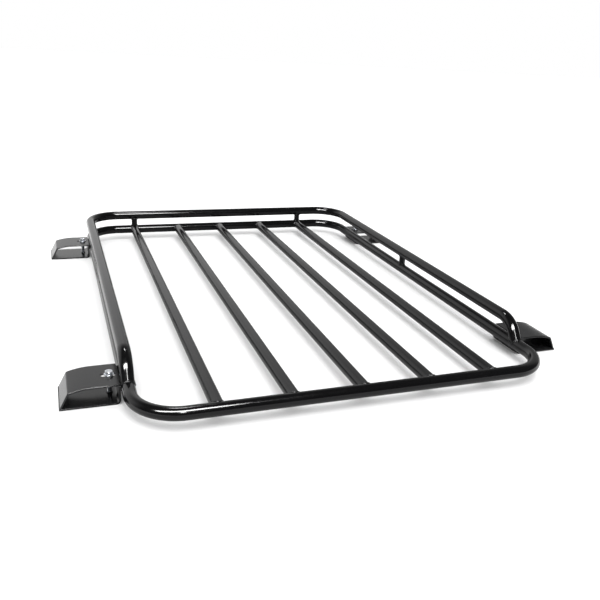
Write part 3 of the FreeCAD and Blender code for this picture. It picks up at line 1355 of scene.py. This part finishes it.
@dataclass
class ClampFoot:
    """One gutter clamp: bracket, bush, jaw, washer, bolt and the bracket's welds."""

    side: Side
    end: End
    sizes: ClampSizes
    rack: RackSizes
    finishes: Finishes
    bead: BeadStyle = BeadStyle(radius=1.5 * MM, ripple_pitch=2.2 * MM)
    bead_inset: float = 3 * MM
    lower_bead: float = math.radians(-27.0)
    upper_bead: float = math.radians(14.0)
    cutter_reach: float = 6 * MM
    sides: int = 48

    @property
    def corner(self) -> str:
        """The corner's name in the CAD nodes."""
        return f"{self.end.word}_{self.side.word}"

    @property
    def middle_y(self) -> float:
        """The clamp's middle along the side tube."""
        low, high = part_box(f"bracket_{self.corner}")
        return (low.y + high.y) / 2

    def build(self) -> None:
        """Builds and dresses every piece of the clamp."""
        self.bracket()
        self.jaw()
        self.bush()
        self.washer()
        self.bolt()
        self.bracket_welds()

    def settle(self, piece: bpy.types.Object) -> bpy.types.Object:
        """Moves a piece from the right side's own plane to this corner, in its mesh.

        Args:
            piece: The piece, made about y = 0.

        Returns:
            The same piece.
        """
        mesh = piece.data
        if self.side is Side.LEFT:
            mesh.transform(Matrix.Diagonal((-1, 1, 1, 1)))
            mesh.flip_normals()
        mesh.transform(Matrix.Translation((0, self.middle_y, 0)))
        return piece

    def place_turned(self, piece: bpy.types.Object) -> bpy.types.Object:
        """Moves a turned piece onto this corner's bolt axis, not mirrored, so its thread keeps its hand.

        Args:
            piece: The piece, made about the Z axis.

        Returns:
            The same piece.
        """
        x = self.side.value * self.sizes.bolt_x
        piece.data.transform(Matrix.Translation((x, self.middle_y, 0)))
        return piece

    def jaw_face(self, depth: float) -> list[Flat]:
        """One face of the jaw's outline, from the inboard edge to the foot.

        Args:
            depth: How far it lies below the outer face.

        Returns:
            The points.
        """
        s = self.sizes
        crown_r = (s.crown_run ** 2 + s.crown_drop ** 2) / (2 * s.crown_drop)
        crown_end = RIGHT_ANGLE - math.asin(s.crown_run / crown_r)
        knee = (s.wall_x + s.flat, s.jaw_top - crown_r)
        reach = crown_r - s.corner_radius
        corner = (knee[0] + reach * math.cos(crown_end), knee[1] + reach * math.sin(crown_end))
        points = [(s.jaw_edge_x, s.jaw_top - depth)]
        points += arc_points(knee, crown_r - depth, RIGHT_ANGLE, crown_end, steps=16)
        points += arc_points(corner, s.corner_radius - depth, crown_end, s.wall_lean, steps=10)[1:]
        x, z = points[-1]
        points.append((x + (z - s.sheet) * math.tan(s.wall_lean), s.sheet))
        return points

    def jaw(self) -> None:
        """Makes the slotted upper jaw."""
        s = self.sizes
        name = f"jaw_{self.corner}"
        outline = self.jaw_face(0.0) + self.jaw_face(s.sheet)[::-1]
        piece = prism(f"{name}_plate", outline, s.half_depth)
        ends = (s.bolt_x - s.slot_in, s.bolt_x + s.slot_out)
        cut_slot(piece, ends, s.slot_r, (s.jaw_top - self.cutter_reach, s.jaw_top + self.cutter_reach))
        round_edges(piece, s.edge_round)
        dress(self.settle(piece), self.finishes.clamp, Coat.CLAMP, name, name)

    def bracket(self) -> None:
        """Makes the welded lower bracket, with the hole for its bush."""
        s = self.sizes
        centre = (s.wall_x + s.bracket_bend, s.bracket_bend)
        top = s.jaw_top - s.sheet
        left, low = 2 * RIGHT_ANGLE, 3 * RIGHT_ANGLE
        outline = [(s.wall_x, top)]
        outline += arc_points(centre, s.bracket_bend, left, low, steps=10)
        outline += [(s.plate_edge_x, 0.0), (s.plate_edge_x, s.sheet)]
        outline += arc_points(centre, s.bracket_bend - s.sheet, low, left, steps=10)
        outline.append((s.wall_x + s.sheet, top))
        piece = prism(f"bracket_{self.corner}_plate", outline, s.half_depth)
        for radius, height in ((s.bush_r, 2 * s.sheet), (s.bush_flange_r, s.bush_flange)):
            cut_slot(piece, (s.bolt_x, s.bolt_x), radius, (-s.sheet, height))
        round_edges(piece, s.edge_round)
        dress(self.settle(piece), self.finishes.clamp, Coat.CLAMP, "root", f"bracket_{self.corner}")

    def bush(self) -> None:
        """Makes the threaded bush, painted with the bracket, its flange sunk in the plate's underside."""
        s = self.sizes
        top, ledge, soft = s.sheet + s.bush_proud, s.bush_flange - s.fit, s.turned_round
        mouth = s.bush_bore_r + s.bush_groove
        barrel, flange = s.bush_r - s.fit, s.bush_flange_r - s.fit
        rows = [
            level(mouth, 0.0), level(flange - soft / 2, 0.0), level(flange, soft / 2), level(flange, ledge),
            level(barrel, ledge), level(barrel, top - soft), level(barrel - soft * 0.3, top - soft * 0.3),
            level(barrel - soft, top), level(mouth, top),
        ]
        steps = int(top / s.thread_pitch * ROWS_PER_TURN)
        for i in range(steps + 1):
            share = i / steps
            edge = min(1.0, 6 * min(share, 1 - share))
            height = top - s.bush_lead - (top - 2 * s.bush_lead) * share
            rows.append(thread_row(s.bush_bore_r, s.thread_pitch, height, s.bush_groove * edge))
        piece = turned_piece(f"bush_{self.corner}_body", rows, self.sides, looped=True, sharp=28.0)
        dress(self.place_turned(piece), self.finishes.clamp, Coat.CLAMP, "root", f"bush_{self.corner}")

    def washer(self) -> None:
        """Makes the plain washer under the bolt's head, its upper edge rolled by the punch."""
        s = self.sizes
        name = f"washer_{self.corner}"
        low, high = s.jaw_top + s.washer_gap, s.head_top - s.head_height
        outer, inner, soft, burr, bevel = s.washer_r, s.hole_r, s.turned_round, 0.1 * MM, 0.25 * MM
        rows = [level(inner, low + burr), level(inner + burr, low)]
        rows += [level(outer - burr, low), level(outer, low + burr)]
        rolled = arc_points((outer - soft, high - soft), soft, 0.0, RIGHT_ANGLE, steps=4)
        rows += [level(radius, height) for radius, height in rolled]
        rows += [level(inner + bevel, high), level(inner, high - bevel)]
        piece = turned_piece(f"{name}_disc", rows, sides=64, looped=True, sharp=50.0)
        dress(self.place_turned(piece), self.finishes.zinc, Coat.ZINC, name, name)

    def bolt_head(self) -> list[Row]:
        """The bolt's hexagon head, from its dished middle out and down to the neck.

        Returns:
            The rows.
        """
        s = self.sizes
        top, under = s.head_top, s.head_top - s.head_height
        flats, soft, dish = s.hexagon, s.head_soft, s.head_top - s.head_dish
        return [
            level(0.5 * MM, dish), level(3.2 * MM, dish), level(3.6 * MM, top - 0.05 * MM),
            level(flats / 2 * HEXAGON_FACE - soft, top),
            chamfer_row(flats, top, -0.03 * MM, soft), chamfer_row(flats, top, soft),
            hexagon_row(flats, under + 0.5 * MM), hexagon_row(flats, under + 0.35 * MM, soft),
            level(flats / 2 - 0.3 * MM, under + 0.3 * MM), level(flats / 2 - 0.35 * MM, under),
            level(s.thread_r + 0.4 * MM, under), level(s.thread_r, under - 0.4 * MM),
        ]

    def bolt(self) -> None:
        """Makes the hexagon bolt: chamfered head, washer face, plain neck and rolled thread."""
        s = self.sizes
        name = f"bolt_{self.corner}"
        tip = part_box(name)[0].z
        start = tip + s.thread_length
        rows = self.bolt_head() + [level(s.thread_r, start + 0.4 * MM)]
        steps = int(s.thread_length / s.thread_pitch * ROWS_PER_TURN)
        for i in range(steps + 1):
            height = start - (s.thread_length - 0.9 * MM) * i / steps
            grown = min(1.0, (start - height) / (2 * s.thread_pitch))
            rows.append(thread_row(s.thread_r, s.thread_pitch, height, s.bolt_groove * grown))
        rows += [level(s.thread_r - 0.75 * MM, tip + 0.1 * MM), level(s.thread_r - 0.95 * MM, tip)]
        piece = turned_piece(f"{name}_body", rows, self.sides, looped=False, sharp=28.0)
        dress(self.place_turned(piece), self.finishes.zinc, Coat.ZINC, name, name)

    def bracket_welds(self) -> None:
        """Makes the two beads between the side tube and the bracket's wall, below and above their contact."""
        s, rack = self.sizes, self.rack
        length = 2 * (s.half_depth - self.bead_inset)
        count = self.bead.points_for(length)
        for word, turn in (("lower", self.lower_bead), ("upper", self.upper_bead)):
            x = s.wall_x - rack.tube_r * (1 - math.cos(turn)) * 0.5
            z = rack.ring_z + rack.tube_r * math.sin(turn)
            along = [self.middle_y + length * (i / (count - 1) - 0.5) for i in range(count)]
            line = [Vector((self.side.value * x, y, z)) for y in along]
            piece = self.bead.bead(f"bracket_{self.corner}_{word}_weld", line, closed=False)
            dress(piece, self.finishes.weld, Coat.FRAME, "root")


# ---- Studio ------------------------------------------------------------------------------------------------
@dataclass(frozen=True)
class Softbox:
    """A soft light aimed at a point."""

    name: str
    place: tuple[float, float, float]
    target: tuple[float, float, float]
    width: float
    height: float
    power: float

    def build(self) -> None:
        """Hangs the light."""
        data = bpy.data.lights.new(self.name, "AREA")
        data.shape = "RECTANGLE"
        data.size = self.width
        data.size_y = self.height
        data.energy = self.power
        lamp = bpy.data.objects.new(self.name, data)
        lamp.location = self.place
        aim = Vector(self.target) - Vector(self.place)
        lamp.rotation_euler = aim.to_track_quat("-Z", "Y").to_euler()
        lamp.visible_camera = False
        lamp.visible_diffuse = False
        bpy.context.scene.collection.objects.link(lamp)


@dataclass(frozen=True)
class CeilingGlow:
    """The broad light of the ceiling, the same all over the floor, with soft shadows."""

    name: str = "ceiling_glow"
    tilt: tuple[float, float, float] = (-0.05, -0.36, 0.93)
    spread: float = math.radians(38.0)
    strength: float = 1.5

    def build(self) -> None:
        """Hangs the light."""
        data = bpy.data.lights.new(self.name, "SUN")
        data.angle = self.spread
        data.energy = self.strength
        lamp = bpy.data.objects.new(self.name, data)
        lamp.rotation_euler = (-Vector(self.tilt)).to_track_quat("-Z", "Y").to_euler()
        lamp.visible_glossy = False
        bpy.context.scene.collection.objects.link(lamp)


@dataclass(frozen=True)
class Viewpoint:
    """The camera: where it stands, how it is turned and its lens."""

    place: tuple[float, float, float] = (-0.5067, -1.5381, 0.6050)
    heading: float = math.radians(20.93)
    dip: float = math.radians(20.75)
    roll: float = math.radians(3.52)
    lens: float = 40.45
    sensor: float = 36.0

    def build(self) -> None:
        """Sets up the camera."""
        ahead = Vector((math.sin(self.heading) * math.cos(self.dip),
                        math.cos(self.heading) * math.cos(self.dip), -math.sin(self.dip)))
        right = Vector((math.cos(self.heading), -math.sin(self.heading), 0))
        up = right.cross(ahead)
        leaned = right * math.cos(self.roll) + up * math.sin(self.roll)
        upright = up * math.cos(self.roll) - right * math.sin(self.roll)
        data = bpy.data.cameras.new("camera")
        data.lens = self.lens
        data.sensor_width = self.sensor
        data.clip_end = 60
        camera = bpy.data.objects.new("camera", data)
        turned = Matrix((leaned, upright, -ahead)).transposed().to_4x4()
        camera.matrix_world = Matrix.Translation(self.place) @ turned
        bpy.context.scene.collection.objects.link(camera)
        bpy.context.scene.camera = camera


@dataclass
class Studio:
    """White sweep, soft lights and the surroundings that the gloss reflects."""

    finishes: Finishes
    floor_size: float = 40.0
    fill: float = 1.15
    bright_side: float = 1.0
    dim_side: float = 0.28
    overhead: float = 0.06
    bright_until: float = math.radians(6.0)
    dim_from: float = math.radians(34.0)
    lights: tuple[Softbox, ...] = (
        Softbox("key_softbox", place=(-1.20, -1.93, 2.68), target=(-1.20, -0.50, 0.04),
                width=3.30, height=0.80, power=500.0),
        Softbox("strip_softbox", place=(-0.28, -2.58, 2.20), target=(-0.28, -0.50, 0.04),
                width=0.40, height=0.95, power=54.0),
        Softbox("top_softbox", place=(-0.12, 0.60, 2.0), target=(-0.12, 0.55, 0.0),
                width=0.38, height=0.3, power=12.0),
    )

    def build(self) -> None:
        """Builds the stage."""
        self.floor()
        self.surroundings()
        CeilingGlow().build()
        for light in self.lights:
            light.build()
        bpy.context.scene.view_settings.view_transform = "Standard"

    def floor(self) -> None:
        """The pale floor, its far edge beyond the view."""
        bm = bmesh.new()
        bmesh.ops.create_grid(bm, x_segments=8, y_segments=8, size=self.floor_size / 2)
        floor = finish_mesh(bm, "floor")
        floor.data.materials.append(self.finishes.paper)

    def surroundings(self) -> None:
        """White to the eye, and to the gloss a room that is bright at the back left and dim elsewhere."""
        world = bpy.data.worlds.new("studio")
        world.use_nodes = True
        bpy.context.scene.world = world
        tree = world.node_tree
        direction = add_node(tree, "SeparateXYZ")
        feed(tree, add_node(tree, "TexCoord").outputs["Generated"], direction.inputs[0])
        bearing = maths(tree, "ARCTAN2", direction.outputs["X"], direction.outputs["Y"])
        along = ranged(tree, bearing, self.bright_until, self.dim_from, self.bright_side, self.dim_side)
        behind = ranged(tree, direction.outputs["Y"], 0.0, 0.4, 0.0, 1.0)
        low = ranged(tree, direction.outputs["Z"], 0.5, 0.8, 1.0, 0.0)
        wall = product(tree, product(tree, behind, low), along)
        path = add_node(tree, "LightPath")
        glossy, seen = (path.outputs[name] for name in ("Is Glossy Ray", "Is Camera Ray"))
        mirrored = product(tree, glossy, total(tree, wall, self.overhead))
        neither = maths(tree, "SUBTRACT", 1.0, maths(tree, "MAXIMUM", glossy, seen))
        lit = total(tree, total(tree, mirrored, seen), product(tree, neither, self.fill))
        background = tree.nodes["Background"]
        background.inputs["Color"].default_value = (1.0, 1.0, 1.0, 1.0)
        feed(tree, lit, background.inputs["Strength"])


def main() -> None:
    """Builds the studio and every piece of the rack."""
    logging.basicConfig(level=logging.INFO, format="%(name)s: %(message)s")
    Viewpoint().build()
    finishes = Finishes()
    Studio(finishes).build()
    sizes = RackSizes.from_frame()
    TubeFrame(sizes, finishes).build()
    clamp = ClampSizes.from_frame()
    for end in End:
        for side in Side:
            ClampFoot(side, end, clamp, sizes, finishes).build()


if __name__ == "__main__":
    main()
